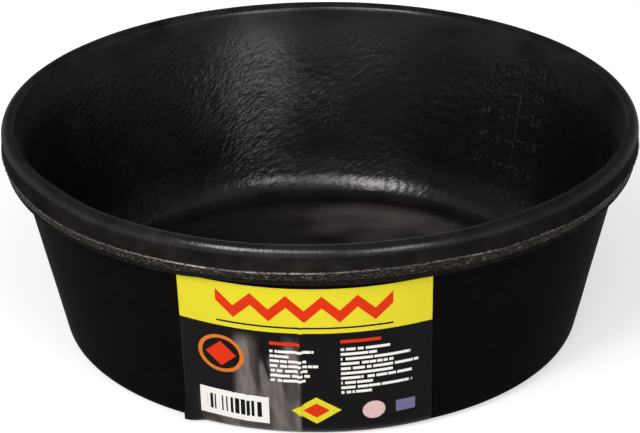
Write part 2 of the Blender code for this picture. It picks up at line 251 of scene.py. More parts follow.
class Section:
    """The pan's half section, worked out from its sizes."""

    gutter_steps = 12
    slices = 2000
    halvings = 24

    def __init__(self, pan):
        self.pan = pan
        self.face = pan.rim_radius - pan.ridge
        self.round_foot = pan.height - pan.round_depth
        self.parting = self.round_foot - pan.flank - pan.ridge_half
        self.band_top = self.parting - pan.ridge_half
        self.band_foot = self.band_top - pan.band_height
        self.lip_radius = self.face - pan.band_inset
        self.lip_foot = self.band_foot - pan.lip_height
        self.wall_top = self.lip_radius - pan.lip_inset - pan.ledge
        self.slope = (self.wall_top - pan.base_radius) / self.lip_foot
        self.floor_edge = pan.base_radius + self.slope * pan.floor - pan.wall_at_floor
        rise = self.lip_foot - pan.floor
        self.inside_slope = (self.wall_top - pan.wall_under_rim - self.floor_edge) / rise
        self.lean = atan(self.slope)
        self.inside_lean = atan(self.inside_slope)
        self.corner_middle = self.outside(pan.base_corner) - pan.base_corner / cos(self.lean)
        self.pocket_height = self.lip_foot - pan.pocket_below_lip

    def outside(self, height):
        """Radius of the outer wall at a height."""
        return self.pan.base_radius + self.slope * height

    def inside(self, height):
        """Radius of the inner wall at a height."""
        return self.floor_edge + self.inside_slope * (height - self.pan.floor)

    def fillet(self):
        """The fillet from its foot up to the wall: a tight arc, then a wide one."""
        pan = self.pan
        turned = pan.fillet_turn
        middle = pan.floor - pan.gutter + pan.fillet
        growth = pan.fillet_wide - pan.fillet
        wide_middle = (-growth * cos(turned), middle + growth * sin(turned))
        run = arc((0.0, middle), pan.fillet, -pi / 2, -turned)
        run += arc(wide_middle, pan.fillet_wide, -turned, -self.inside_lean)[1:]
        shift = self.inside(run[-1][1]) - run[-1][0]
        return [(radius + shift, height) for radius, height in run]

    def gutter(self, edge):
        """The floor's fall towards the wall, up to its edge at the fillet."""
        pan = self.pan
        falls = [step / self.gutter_steps for step in range(self.gutter_steps + 1)]
        return [(edge - pan.gutter_width * (1.0 - fall), pan.floor - pan.gutter * smooth(0.0, 1.0, fall))
                for fall in falls]

    def runs(self):
        """Stretches of the section with their mesh steps, from the floor's middle to the base's."""
        pan = self.pan
        fillet = self.fillet()
        gutter = self.gutter(fillet[0][0])
        crest_height = pan.height - pan.crest
        crest_middle = self.inside(crest_height) + pan.crest / cos(self.inside_lean)
        crest = arc((crest_middle, crest_height), pan.crest, pi - self.inside_lean, pi / 2)
        rounding = arc((crest_middle, self.round_foot), self.face - crest_middle, pi / 2, 0.0,
                       pan.round_depth)
        lip = arc((self.lip_radius - pan.lip_inset, self.band_foot), pan.lip_inset, 0.0, -pi / 2,
                  pan.lip_height)
        under_height = self.lip_foot - pan.under_lip
        under_middle = self.outside(under_height) + pan.under_lip / cos(self.lean)
        under = arc((under_middle, under_height), pan.under_lip, pi / 2, pi - self.lean)
        corner = arc((self.corner_middle, pan.base_corner), pan.base_corner, -self.lean, -pi / 2)
        ridge_top = (self.face, self.parting + pan.ridge_half)
        ridge_foot = (self.face, self.band_top)
        pocket_foot = self.pocket_height - 3 * pan.pocket_radius
        wall_split = (self.outside(pocket_foot), pocket_foot)
        return [
            ("floor", 0.0018, [(0.0, pan.floor), gutter[0]]),
            ("floor", 0.0010, gutter),
            ("fillet", 0.0008, fillet),
            ("inner_wall", 0.0011, [fillet[-1], crest[0]]),
            ("crest", 0.0005, crest),
            ("rounding", 0.0005, rounding),
            ("flank", 0.0005, [rounding[-1], ridge_top]),
            ("ridge", 0.0002, [ridge_top, (pan.rim_radius, self.parting), ridge_foot]),
            ("cut_band", 0.0004, [ridge_foot, (self.lip_radius, self.band_foot)]),
            ("lip", 0.0005, lip),
            ("ledge", 0.0007, [lip[-1], under[0]]),
            ("ledge", 0.0004, under),
            ("outer_wall", 0.0004, [under[-1], wall_split]),
            ("outer_wall", 0.0014, [wall_split, corner[0]]),
            ("corner", 0.0008, corner),
            ("base", 0.0080, [corner[-1], (0.0, 0.0)]),
        ]

    def rows(self):
        """Zone, radius and height of each row of the mesh, with the section's outward normals."""
        rows = [(zone, point) for zone, step, run in self.runs() for point in spread(run, step)[:-1]]
        rows.append(("base", (0.0, 0.0)))
        points = np.array([point for _, point in rows])
        along = np.gradient(points, axis=0)
        normals = np.stack([-along[:, 1], along[:, 0]], axis=-1)
        normals /= np.linalg.norm(normals, axis=1)[:, None]
        return [zone for zone, _ in rows], points, normals

    def volume(self, height):
        """What the pan holds up to a height, with the floor's fillet taken off."""
        run = np.array(self.fillet())
        levels = np.linspace(self.pan.floor, height, self.slices + 1)
        levels = (levels[1:] + levels[:-1]) / 2
        in_fillet = np.interp(levels, run[:, 1], run[:, 0])
        radii = np.where(levels < run[-1, 1], in_fillet, self.inside(levels))
        return float(np.sum(pi * radii ** 2) * (height - self.pan.floor) / self.slices)

    def level(self, volume):
        """Height at which the pan holds a volume."""
        low = self.pan.floor
        high = self.pan.height
        for _ in range(self.halvings):
            middle = (low + high) / 2
            if self.volume(middle) < volume:
                low = middle
            else:
                high = middle
        return (low + high) / 2


# How far the rim has dropped: degrees from +X, and millimetres
CREST_DROP = ((-165.0, 0.0), (-146.0, 0.2), (-131.0, 1.6), (-105.0, 1.7), (-88.0, 1.2), (-70.0, 0.9),
              (-50.0, 0.0))
PARTING_DROP = ((-180.0, 0.0), (-160.0, 0.8), (-137.0, 2.1), (-105.0, 1.8), (-93.0, 1.25), (-82.0, 0.6),
                (-68.0, 0.1), (-58.0, 0.8), (-50.0, 0.4), (-42.0, 0.9), (-20.0, 0.3), (0.0, 0.0))
LIP_DROP = ((-175.0, 0.0), (-150.0, 0.9), (-118.0, 1.0), (-106.0, 0.0))


def drop(line, angle):
    """How far a line of the rim lies under its plain level at an angle."""
    place = degrees(angle)
    for (start, first), (end, second) in zip(line, line[1:]):
        if place < end:
            return MILLIMETRE * (first + (second - first) * smooth(start, end, place))
    return MILLIMETRE * line[-1][1]


# Heights on the inner wall: the fillet's finish gives way to the wall's, and the wrinkles end
WALL_FOOT = (0.019, 0.031)
WRINKLES_END = (0.070, 0.090)

# The wrinkles' width and height, the height in which they turn by one radian, and their patches' place
WRINKLE_WIDTH = 0.0045
WRINKLE_HEIGHT = 0.0024
WRINKLE_TURN = 0.06
PATCH_SHIFT = Vector((4.0, 1.0, 7.0))

# How far the crest's inner side and the foot of the sunken rim reach from the wall
CREST_REACH = 0.003
DROP_REACH = 0.002


class Relief:
    """How far each zone of the moulding stands off its plain section, by the method with the zone's name."""

    def __init__(self, section, rubber):
        self.section = section
        self.pan = section.pan
        self.rubber = rubber

    def waves(self, point, size, down=0.0):
        """Soft waves, lowered by a share of their depth."""
        return self.rubber.swell * (noise.noise(point / size) - down)

    def wrinkles(self, point):
        """Short slanted wrinkles, in patches."""
        patch = smooth(-0.15, 0.45, noise.noise(point / 0.034 + PATCH_SHIFT))
        x, y, z = Matrix.Rotation(point.z / WRINKLE_TURN, 3, "Z") @ point
        fold = ripple(x / WRINKLE_WIDTH, y / WRINKLE_WIDTH, z / WRINKLE_HEIGHT)
        return self.rubber.wrinkle * (0.35 + 0.65 * patch) * (1.0 - 2.0 * abs(fold))

    def floor(self, point, angle):
        """The floor: nearly smooth, with slow waves."""
        return self.waves(point, 0.034) + 0.25 * self.wrinkles(point)

    def inner_wall(self, point, angle):
        """The wall and its fillet: wrinkled, smoother near the rim, with flow lines at the foot."""
        foot = 1.0 - smooth(*WALL_FOOT, point.z)
        wrinkled = (1.0 - smooth(*WRINKLES_END, point.z)) * (1.0 - 0.3 * foot)
        flow_lines = 0.6 * self.rubber.wrinkle * foot * ripple(cos(angle) * 55.0, sin(angle) * 55.0)
        return self.waves(point, 0.021) + wrinkled * self.wrinkles(point) + flow_lines

    def crest(self, point, angle):
        """The polished crest and the flank, never above the plain section."""
        return 0.5 * self.waves(point, 0.016, 1.0)

    def ridge(self, point, angle):
        """The parting ridge, chipped inwards."""
        around = Vector((cos(angle), sin(angle), 0.0))
        chips = smooth(0.05, 0.5, noise.noise(around * 46.0)) + smooth(0.2, 0.6, noise.noise(around * 110.0))
        return -self.rubber.chip * min(1.0, 0.15 + 0.6 * chips)

    def cut_band(self, point, angle):
        """The band where the flash was trimmed: torn along the cut."""
        tear = ripple(cos(angle) * 60.0, sin(angle) * 60.0, point.z / 0.0007)
        pits = smooth(0.35, 0.6, noise.noise(point / 0.0021))
        return self.rubber.tear * (0.8 * tear - pits - 0.4) + self.nub(angle)

    def lip(self, point, angle):
        """The smooth lip under the cut band."""
        return 0.5 * self.waves(point, 0.008, 1.0) + self.nub(angle)

    def nub(self, angle):
        """A small rib across the band and the lip."""
        half = self.pan.nub_half
        away = abs(angle - self.pan.nub_angle) * self.section.lip_radius
        return 0.5 * half * (1.0 - smooth(0.4 * half, half, away))

    def outer_wall(self, point, angle):
        """The outer wall: soft waves that only go inwards, and the small pocket with its collar."""
        radius = self.pan.pocket_radius
        across = (angle - self.pan.pocket_angle) * hypot(point.x, point.y)
        away = hypot(across, point.z - self.section.pocket_height)
        hole = self.pan.pocket_depth * (1.0 - smooth(0.6 * radius, 1.15 * radius, away))
        collar = 0.12 * MILLIMETRE * bell(away, 1.6 * radius, 0.4 * radius)
        return self.waves(point, 0.017, 1.0) - hole + collar

    def corner(self, point, angle):
        """The base corner, which fades into the flat base."""
        return smooth(0.0, self.pan.base_corner, point.z) * self.outer_wall(point, angle)

    def base(self, point, angle):
        """The flat base and the ledge: no relief."""
        return 0.0

    fillet = inner_wall
    rounding = flank = crest
    ledge = base

    def uneven(self, angle, radius, height):
        """How far the rim has dropped: its crest, parting line and lip each by their own measure."""
        section = self.section
        crest = drop(CREST_DROP, angle)
        inner_side = radius < max(section.wall_top, section.inside(height) + CREST_REACH)
        above = smooth(section.parting, section.round_foot, height)
        if inner_side or height > section.round_foot:
            return -crest * above
        parting = drop(PARTING_DROP, angle)
        if height > section.parting:
            return -parting - (crest - parting) * above
        lip = drop(LIP_DROP, angle)
        away = smooth(section.wall_top, section.wall_top + DROP_REACH, radius)
        return -away * (lip + (parting - lip) * smooth(section.lip_foot, section.parting, height))


def column_angles(pan, steps=8):
    """Angles of the mesh's columns: even round the pan, and closer at the pocket and the nub."""
    angles = [2 * pi * column / pan.columns - pi for column in range(pan.columns)]
    for middle, half in ((pan.pocket_angle, 2.2 * pan.pocket_radius), (pan.nub_angle, 1.6 * pan.nub_half)):
        angles += [middle + step / steps * half / pan.rim_radius for step in range(-steps, steps + 1)]
    return sorted(angles)


# Each zone's measures of finish, in the order of their names; only the floor has the painted sheen
FINISH_NAMES = ("torn", "mottled", "streaked", "rough", "worn", "polished", "dusty")
FINISHES = {
    # The floor's and the fillet's pale tone is partly painted light that lifts them out of the walls' shade
    "floor": (0.0, 0.45, 0.0, 0.40, 1.2, 0.3),
    "fillet": (0.0, 0.42, 0.8, 0.30, 0.6, 1.0),
    "inner_wall": (0.0, 0.95, 0.0, 0.42, 0.0, 0.38),
    "crest": (0.0, 0.16, 1.0, 0.30, 0.6, 1.0),
    "rounding": (0.0, 0.16, 1.0, 0.30, 0.4, 1.0),
    "flank": (0.02, 0.5, 0.6, 0.44, 0.45, 0.06),
    "ridge": (1.0, 0.5, 0.0, 0.60, 0.0, 0.1),
    "cut_band": (0.55, 0.6, 0.0, 0.65, 0.0, 0.0),
    "lip": (0.12, 0.2, 0.5, 0.55, 0.2, 0.05),
    "ledge": (0.0, 0.2, 0.0, 0.50, 0.0, 0.0),
    "outer_wall": (0.0, 0.3, 0.0, 0.50, 0.0, 0.0),
    "corner": (0.0, 0.3, 0.0, 0.50, 0.0, 0.0),
    "base": (0.0, 0.3, 0.0, 0.60, 0.0, 0.0),
}
MATT_ZONES = ("flank", "lip", "ledge", "outer_wall", "corner", "base")

# Where the finish changes: stretches of height, radius or x in metres, then places by their middle and
# half width, in degrees round the pan from +X or in metres
FILLET_FOOT = (0.0110, 0.0126)
FLOOR_END = (0.082, 0.100)
FLOOR_LEFT = (-0.05, 0.03)
RUBBED_WALL = (0.076, 0.092)
ROUNDING_FOOT = (0.0926, 0.0957)
GLARE = (106.0, 11.0)
GLARE_LEVEL = (0.056, 0.020)
CALM_WALL = (72.0, 20.0)
DULL_SHADED_RIM = (-45.0, 22.0)
# Painted highlights on the parting ridge, where the two lamps' highlights fall
RIDGE_HIGHLIGHT_LEFT = (-105.0, 13.0)
RIDGE_HIGHLIGHT_RIGHT = (-72.0, 9.0)
SHEEN_X = (0.040, 0.048)
SHEEN_Y = (0.072, 0.031)


class Finish:
    """A zone's finish at a place, changed by the method with the zone's name if there is one."""

    def __init__(self, zone, point, angle):
        self.point = point
        self.place = degrees(angle)
        self.back = sin(angle)
        self.dusty = 0.0
        vars(self).update(zip(FINISH_NAMES, FINISHES[zone]))
        change = getattr(self, zone, None)
        if change:
            change()
        self.polished = min(1.0, self.polished)

    def values(self):
        """The measures in the order of their names."""
        return [getattr(self, name) for name in FINISH_NAMES]

    def ease(self, zone, part):
        """Moves the finish towards another zone's, all the way where the part is 0."""
        for name, value in zip(FINISH_NAMES, FINISHES[zone]):
            setattr(self, name, value + (getattr(self, name) - value) * part)

    def floor(self):
        """Painted sheen towards the back right, and painted shade: the pale tone is held back in the gutter
        and on the left.
        """
        x, y, _ = self.point
        # Painted sheen: a pale patch with soft, uneven edges
        away = hypot((x - SHEEN_X[0]) / SHEEN_X[1], (y - SHEEN_Y[0]) / SHEEN_Y[1])
        inner = 1.0 - smooth(*FLOOR_END, hypot(x, y))
        self.dusty = inner * (1.0 - smooth(0.20, 1.35, away + 0.5 * noise.noise(self.point / 0.018)))
        # Painted shade: darker towards the gutter and on the left
        self.worn *= (0.5 + 0.5 * inner) * (0.80 + 0.20 * smooth(*FLOOR_LEFT, x))

    def fillet(self):
        """Dull at its foot, in the gutter."""
        self.polished *= 0.1 + 0.9 * smooth(*FILLET_FOOT, self.point.z)

    def inner_wall(self):
        """Wrinkled in patches, shiny at the back left, and rubbed smooth near the rim; painted sheen makes
        the glare and the smooth top paler.
        """
        point = self.point
        patch = smooth(-0.4, 0.6, noise.noise(point / 0.030 + PATCH_SHIFT))
        clumps = smooth(-0.35, 0.35, noise.noise(point / 0.010))
        rubbed = smooth(*RUBBED_WALL, point.z)
        calm = bell(self.place, *CALM_WALL)
        glare = bell(self.place, *GLARE) * bell(point.z, *GLARE_LEVEL)
        glare *= (1.0 - rubbed) * (0.45 + 0.75 * clumps)
        self.mottled *= (0.5 + 0.4 * patch + 0.7 * glare - 0.40 * calm) * (1.0 - 0.8 * rubbed)
        self.rough += 0.10 * rubbed - 0.05 * patch - 0.08 * glare
        # Painted sheen: paler where the fill lamp's glare falls and on the smooth top of the wall
        self.worn += 0.3 * glare + 0.9 * rubbed
        self.polished += 0.10 * patch + 0.18 * glare - 0.18 * calm
        self.polished *= 1.0 - 0.75 * rubbed
        self.ease("fillet", smooth(*WALL_FOOT, point.z))

    def rim(self):
        """Blotched, polished at the back and the front, and dull at the sides and the front right, where
        painted shade also darkens it.
        """
        ends = abs(self.back) ** 3.5 * (1.0 - 0.3 * smooth(0.2, 0.6, self.back))
        blotch = noise.noise(self.point / 0.007) + 0.5 * noise.noise(self.point / 0.0025)
        dull = bell(self.place, *DULL_SHADED_RIM)
        self.polished *= (0.05 + 0.85 * ends) * (1.0 + 0.3 * blotch) * (1.0 - 0.5 * dull)
        self.rough += 0.28 * (1.0 - ends)
        # Painted shade: the pale tone is held back at the front right
        self.worn *= (1.0 + 0.8 * blotch) * (1.0 - 0.35 * dull)

    flank = lip = rim

    def rounding(self):
        """The rim's finish, which fades into the flank's."""
        self.ease("flank", smooth(*ROUNDING_FOOT, self.point.z))
        self.rim()

    def crest(self):
        """The rim's finish, duller along the front."""
        self.rim()
        front = smooth(0.1, -0.4, self.back)
        self.polished *= 1.0 - 0.9 * front
        self.rough += 0.2 * front

    def ridge(self):
        """Torn, and paler where the lamps' highlights fall on the front: painted highlight."""
        self.torn *= 0.71 + 0.29 * bell(self.place, *RIDGE_HIGHLIGHT_LEFT)
        self.torn += 0.10 * bell(self.place, *RIDGE_HIGHLIGHT_RIGHT)


def link_object(name, data):
    """A new object in the scene."""
    made = bpy.data.objects.new(name, data)
    bpy.context.scene.collection.objects.link(made)
    return made


def mesh_from(work, name):
    """A mesh of what has been built."""
    mesh = bpy.data.meshes.new(name)
    work.to_mesh(mesh)
    work.free()
    return mesh


def turned_mesh(name, section, rubber, materials):
    """The moulding's fine mesh: the section turned about Z, with its relief and its finish attributes."""
    zones, points, normals = section.rows()
    angles = column_angles(section.pan)
    relief = Relief(section, rubber)
    last = len(points) - 1
    vertices = []
    finishes = []
    for row, (zone, (radius, height), (out, rise)) in enumerate(zip(zones, points, normals)):
        single = row in (0, last)
        for angle in angles[:1] if single else angles:
            point = Vector((radius * cos(angle), radius * sin(angle), height))
            lift = getattr(relief, zone)(point, angle)
            reach = radius + (0.0 if single else lift * out)
            level = height + lift * rise + relief.uneven(angle, radius, height)
            vertices.append((reach * cos(angle), reach * sin(angle), level))
            finishes.append(Finish(zone, point, angle).values())
    count = len(angles)
    final = 1 + (last - 2) * count
    faces = []
    for column in range(count):
        following = (column + 1) % count
        faces.append((0, 1 + column, 1 + following))
        for low in range(1, final, count):
            high = low + count
            faces.append((low + column, high + column, high + following, low + following))
        faces.append((final + column, len(vertices) - 1, final + following))
    mesh = bpy.data.meshes.new(name)
    mesh.from_pydata(vertices, [], faces)
    mesh.shade_smooth()
    for material in materials:
        mesh.materials.append(material)
    matt = [zone in MATT_ZONES for zone in zones[:last]]
    mesh.polygons.foreach_set("material_index", np.array(matt * count, np.int32))
    for finish, values in zip(FINISH_NAMES, np.array(finishes, np.float32).T):
        mesh.attributes.new(finish, "FLOAT", "POINT").data.foreach_set("value", values)
    return mesh


def add_piece(name, mesh, node):
    """Links a piece that stands for a solid to its body, and hides the solid."""
    piece = link_object(name, mesh)
    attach(piece, "root")
    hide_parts(node)
    return piece


class Tone:
    """A node's output that takes plain arithmetic: each sign adds a Math node, and | keeps the larger."""

    def __init__(self, shading, socket):
        self.shading = shading
        self.socket = socket

    def calc(self, operation, second=0.0, third=0.0, clamp=False):
        """A Math node."""
        return self.shading.add("ShaderNodeMath", {0: self, 1: second, 2: third}, operation=operation,
                                use_clamp=clamp)

    def stripe(self, low, high):
        """1 between two limits, 0 outside."""
        return self.calc("COMPARE", (low + high) / 2, (high - low) / 2)

    def rise(self, low, high):
        """0 below low, 1 above high, and a smooth rise between."""
        inputs = {"Value": self, "From Min": low, "From Max": high}
        return self.shading.add("ShaderNodeMapRange", inputs, interpolation_type="SMOOTHSTEP")

    __add__ = partialmethod(calc, "ADD")
    __sub__ = partialmethod(calc, "SUBTRACT")
    __mul__ = partialmethod(calc, "MULTIPLY")
    __truediv__ = partialmethod(calc, "DIVIDE")
    __or__ = partialmethod(calc, "MAXIMUM")
    __lt__ = partialmethod(calc, "LESS_THAN")
    __gt__ = partialmethod(calc, "GREATER_THAN")
    __abs__ = partialmethod(calc, "ABSOLUTE")


class Shading:
    """The nodes of a material or a world, whose inputs are values or tones."""

    def __init__(self, block):
        block.use_nodes = True
        self.nodes = block.node_tree.nodes
        self.links = block.node_tree.links

    def feed(self, node, inputs):
        """Sets or links inputs of a node."""
        for key, value in inputs.items():
            if isinstance(value, Tone):
                self.links.new(value.socket, node.inputs[key])
            else:
                node.inputs[key].default_value = value

    def outputs(self, kind, inputs, **settings):
        """Adds a node with its inputs and settings, and gives all its outputs."""
        node = self.nodes.new(kind)
        for key, value in settings.items():
            setattr(node, key, value)
        self.feed(node, inputs)
        return [Tone(self, socket) for socket in node.outputs]

    def add(self, kind, inputs, output=0, **settings):
        """Adds a node, and gives one of its outputs."""
        return self.outputs(kind, inputs, **settings)[output]

    def blend(self, factor, first, second):
        """A colour that goes from the first to the second."""
        tones = [tone if isinstance(tone, Tone) else (*tone, 1.0) for tone in (first, second)]
        return self.add("ShaderNodeMix", {0: factor, 6: tones[0], 7: tones[1]}, 2, data_type="RGBA")

    def place(self, scale=None):
        """The object's own coordinates, times a scale if there is one."""
        plain = self.add("ShaderNodeTexCoord", {}, 3)
        return self.add("ShaderNodeMapping", {"Vector": plain, "Scale": scale}) if scale else plain

    def grain(self, vector, scale, detail=2.0, roughness=0.5, distortion=0.0):
        """A noise texture's grey value."""
        return self.add("ShaderNodeTexNoise", {"Vector": vector, "Scale": scale, "Detail": detail,
                                               "Roughness": roughness, "Distortion": distortion})

    def attribute(self, name):
        """A vertex attribute of the mesh."""
        return self.add("ShaderNodeAttribute", {}, 2, attribute_name=name)

    def bump(self, height, distance, strength=1.0):
        """Fine relief that the mesh doesn't hold."""
        return self.add("ShaderNodeBump", {"Height": height, "Strength": strength, "Distance": distance})

    def seen(self):
        """1 for the camera, reflections and what is seen through glass, and 0 for light."""
        path = self.nodes.new("ShaderNodeLightPath")
        camera, glossy, through = (Tone(self, path.outputs[f"Is {ray} Ray"])
                                   for ray in ("Camera", "Glossy", "Transmission"))
        return camera | glossy | through

    def surface(self, roughness, specular, colour, bump, **coat):
        """Feeds the Principled shader, and its coat's inputs by their last word."""
        inputs = {"Roughness": roughness, "Specular IOR Level": specular, "Base Color": colour,
                  "Normal": bump}
        inputs.update({f"Coat {key}": value for key, value in coat.items()})
        self.feed(self.nodes["Principled BSDF"], inputs)


def rubber_material(rubber, name, specular):
    """Black rubber: mottled inside, rubbed on the rim, torn and flecked with fibres at the parting line."""
    material = bpy.data.materials.new(name)
    look = Shading(material)
    torn, mottled, streaked, rough, worn, polished, dusty = map(look.attribute, FINISH_NAMES)
    place = look.place()
    flat = look.add("ShaderNodeVectorMath", {0: place, 1: (1.0, 1.0, 0.0)}, operation="MULTIPLY")
    around = look.add("ShaderNodeVectorMath", {0: flat}, operation="NORMALIZE")
    slanted = look.add("ShaderNodeMapping", {"Vector": place, "Rotation": (0.0, radians(-36.0), 0.0),
                                             "Scale": (2.3, 1.3, 1.0)}, vector_type="TEXTURE")
    clouds = look.grain(place, 42.0, 3.0)
    mottle = look.grain(slanted, 560.0, 3.0, 0.62, 0.5)
    fine = look.grain(place, 1500.0)
    streaks = look.grain(around, 150.0, 3.0, 0.6)
    flecks = look.grain(look.place((1.0, 1.0, 2.2)), 700.0, 3.0, 0.7)
    sheen_streaks = look.grain(look.place((0.4, 1.0, 1.0)), 110.0, 3.0)
    stretches = look.grain(around, 8.0, 1.0)

    # The skin is mottled and rubbed paler in places, partly painted sheen and shade, with a painted sheen on
    # the floor; the parting line is torn, with pale fibres that carry painted highlights
    bloom = clouds.rise(0.35, 0.66) * mottle.rise(0.35, 0.65) * mottled
    skin = look.blend(bloom, rubber.dark, rubber.bloom)
    skin = look.blend(worn * clouds.rise(0.20, 0.60), skin, rubber.worn)
    skin = look.blend(dusty * (sheen_streaks.rise(0.3, 0.7) * 0.5 + 0.5), skin, rubber.floor_sheen_tone)
    edge = look.blend(torn.rise(0.08, 0.5), skin, rubber.torn)
    chips = flecks.rise(0.54, 0.68) * torn * 0.65
    ridge = torn.rise(0.6, 0.95) * flecks.rise(0.34, 0.56) * (stretches.rise(0.38, 0.58) * 0.65 + 0.35)
    colour = look.blend(chips | ridge, edge, rubber.fibre_and_glint)

    streaky = (streaks - 0.5) * streaked
    roughness = clouds * 0.20 + (rough - 0.10) + streaky * 0.25
    polish = (streaky * 2.4 + 1.0).calc("MULTIPLY", polished, clamp=True)
    relief = (mottle * 1.3 + fine * 0.16) * mottled + streaks * streaked * 0.08 + flecks * torn * 1.2
    bump = look.bump(relief, 0.00034)
    look.surface(roughness, specular, colour, bump, Weight=polish, Normal=bump, IOR=rubber.polish,
                 Roughness=rubber.polish_roughness)
    return material


def scale_material(rubber):
    """The same rubber on the raised marks, paler in specks: partly rubbed, partly painted highlight."""
    material = bpy.data.materials.new("raised_rubber")
    look = Shading(material)
    wear_and_glint = look.grain(look.place(), 500.0, 3.0, 0.7).rise(0.40, 0.66)
    bump = look.bump(look.grain(look.place(), 900.0), 0.0001)
    look.surface(0.4, rubber.specular, look.blend(wear_and_glint, rubber.bloom, rubber.raised), bump)
    return material


# A digit's height in Blender's own font, as a share of the text's size, and half the digits' depth
DIGIT_SHARE = 0.72
DIGIT_DEPTH = 0.45 * MILLIMETRE


def number_mesh(text, height):
    """Raised digits on the flat, slightly thickened, with bevelled edges."""
    curve = bpy.data.curves.new("number", "FONT")
    curve.body = text
    curve.size = height / DIGIT_SHARE
    curve.extrude = DIGIT_DEPTH
    curve.bevel_depth = 0.06 * MILLIMETRE
    curve.offset = 0.03 * MILLIMETRE
    flat = link_object("number", curve)
    bpy.context.view_layer.update()
    mesh = bpy.data.meshes.new_from_object(flat.evaluated_get(bpy.context.evaluated_depsgraph_get()))
    bpy.data.objects.remove(flat)
    return mesh


class Scale:
    """The raised measuring scale, laid on the inner wall: bars with a root in the rubber, and numbers."""

    columns = 6
    line_pieces = 24
    root = 0.5 * MILLIMETRE
    upright = 0.4
    slant = 0.35
    cups_a_mark = 2
    ounces_a_mark = 16

    def __init__(self, section, sizes):
        self.section = section
        self.sizes = sizes
        self.half_line = sizes.line_width / 2
        self.left = self.levels(sizes.step_left)
        self.right = self.levels(sizes.step_right)

    def levels(self, step):
        """Heights of a side's marks, a step of litres apart."""
        return [self.section.level(step * mark * MILLIMETRE) for mark in range(1, self.sizes.marks + 1)]

    def point(self, across, height, lift):
        """A point on the wall, across to the right as seen from inside the pan."""
        section = self.section
        radius = section.inside(height) - lift * cos(section.inside_lean)
        swing = self.sizes.lean * (height - section.pan.floor) / section.pan.height
        angle = self.sizes.angle + swing - across / section.inside(height)
        return radius * cos(angle), radius * sin(angle), height + lift * sin(section.inside_lean)

    def add_bar(self, work, across, heights):
        """A raised bar between two places across and two heights, with slanted sides."""
        relief = self.sizes.relief
        columns = self.columns
        parts = [column / columns for column in range(columns + 1)]
        rings = []
        for lift, inset in ((-self.root, 0.0), (self.upright * relief, 0.0), (relief, self.slant * relief)):
            left, right = across[0] + inset, across[1] - inset
            low, high = heights[0] + inset, heights[1] - inset
            ring = [(left + (right - left) * part, low) for part in parts]
            ring += [(right - (right - left) * part, high) for part in parts]
            rings.append([work.verts.new(self.point(x, z, lift)) for x, z in ring])
        count = len(rings[0])
        for lower, upper in zip(rings, rings[1:]):
            for index in range(count):
                following = (index + 1) % count
                work.faces.new((lower[index], lower[following], upper[following], upper[index]))
        foot, _, top = rings
        for step in range(columns):
            work.faces.new((top[step], top[step + 1], top[count - 2 - step], top[count - 1 - step]))
            work.faces.new((foot[step + 1], foot[step], foot[count - 1 - step], foot[count - 2 - step]))

    def lines_mesh(self):
        """The upright line and its marks on both sides."""
        half_line = self.half_line
        half_tick = self.sizes.tick_width / 2
        low = self.left[0] - self.sizes.foot_margin
        piece_height = (self.right[-1] + self.sizes.top_margin - low) / self.line_pieces
        work = bmesh.new()
        for piece in range(self.line_pieces):
            start = low + piece_height * piece
            heights = (start - half_line * 0.4, start + piece_height)
            self.add_bar(work, (-half_line, half_line), heights)
        for side, levels in ((-1, self.left), (1, self.right)):
            for level in levels:
                ends = sorted((side * half_line * 0.8, side * (half_line + self.sizes.tick_length)))
                self.add_bar(work, ends, (level - half_tick, level + half_tick))
        return mesh_from(work, "measuring_marks")

    def add_number(self, work, text, size, across, level, ends_here):
        """Lays a number on the wall, to start or end at a place across."""
        mesh = number_mesh(text, self.sizes.digit_height * size)
        corners = np.array([vertex.co for vertex in mesh.vertices])
        shift = across - (corners[:, 0].max() if ends_here else 0.0)
        middle = (corners[:, 1].max() + corners[:, 1].min()) / 2
        for vertex in mesh.vertices:
            x, y, z = vertex.co
            lift = z - (corners[:, 2].max() - self.sizes.relief)
            vertex.co = self.point(x + shift, level + y - middle, lift)
        work.from_mesh(mesh)
        bpy.data.meshes.remove(mesh)

    def numbers_mesh(self):
        """Plain numbers beside the marks: cups and fluid ounces on the left, litres on the right."""
        sizes = self.sizes
        near = self.half_line + sizes.tick_length + sizes.digit_gap
        far = near + 3.6 * sizes.digit_gap + 2 * sizes.digit_height
        work = bmesh.new()
        for mark, (left, right) in enumerate(zip(self.left, self.right), start=1):
            self.add_number(work, f"{self.cups_a_mark * mark}", 1.0, -near, left, True)
            self.add_number(work, f"{self.ounces_a_mark * mark}", 0.85, -far, left, False)
            self.add_number(work, f"{sizes.step_right * mark:.1f}", 1.0, near, right, False)
        bmesh.ops.remove_doubles(work, verts=work.verts, dist=0.000002)
        bmesh.ops.recalc_face_normals(work, faces=work.faces)
        return mesh_from(work, "measuring_numbers")


# Places on the label's flat sheet, in millimetres
BAND_FOOT = 22.3
BASE_BEND = (66.0, 76.5)
CREASE_SIDE = (-2.9, -1.7)
SHEET_GRID = (300, 230)


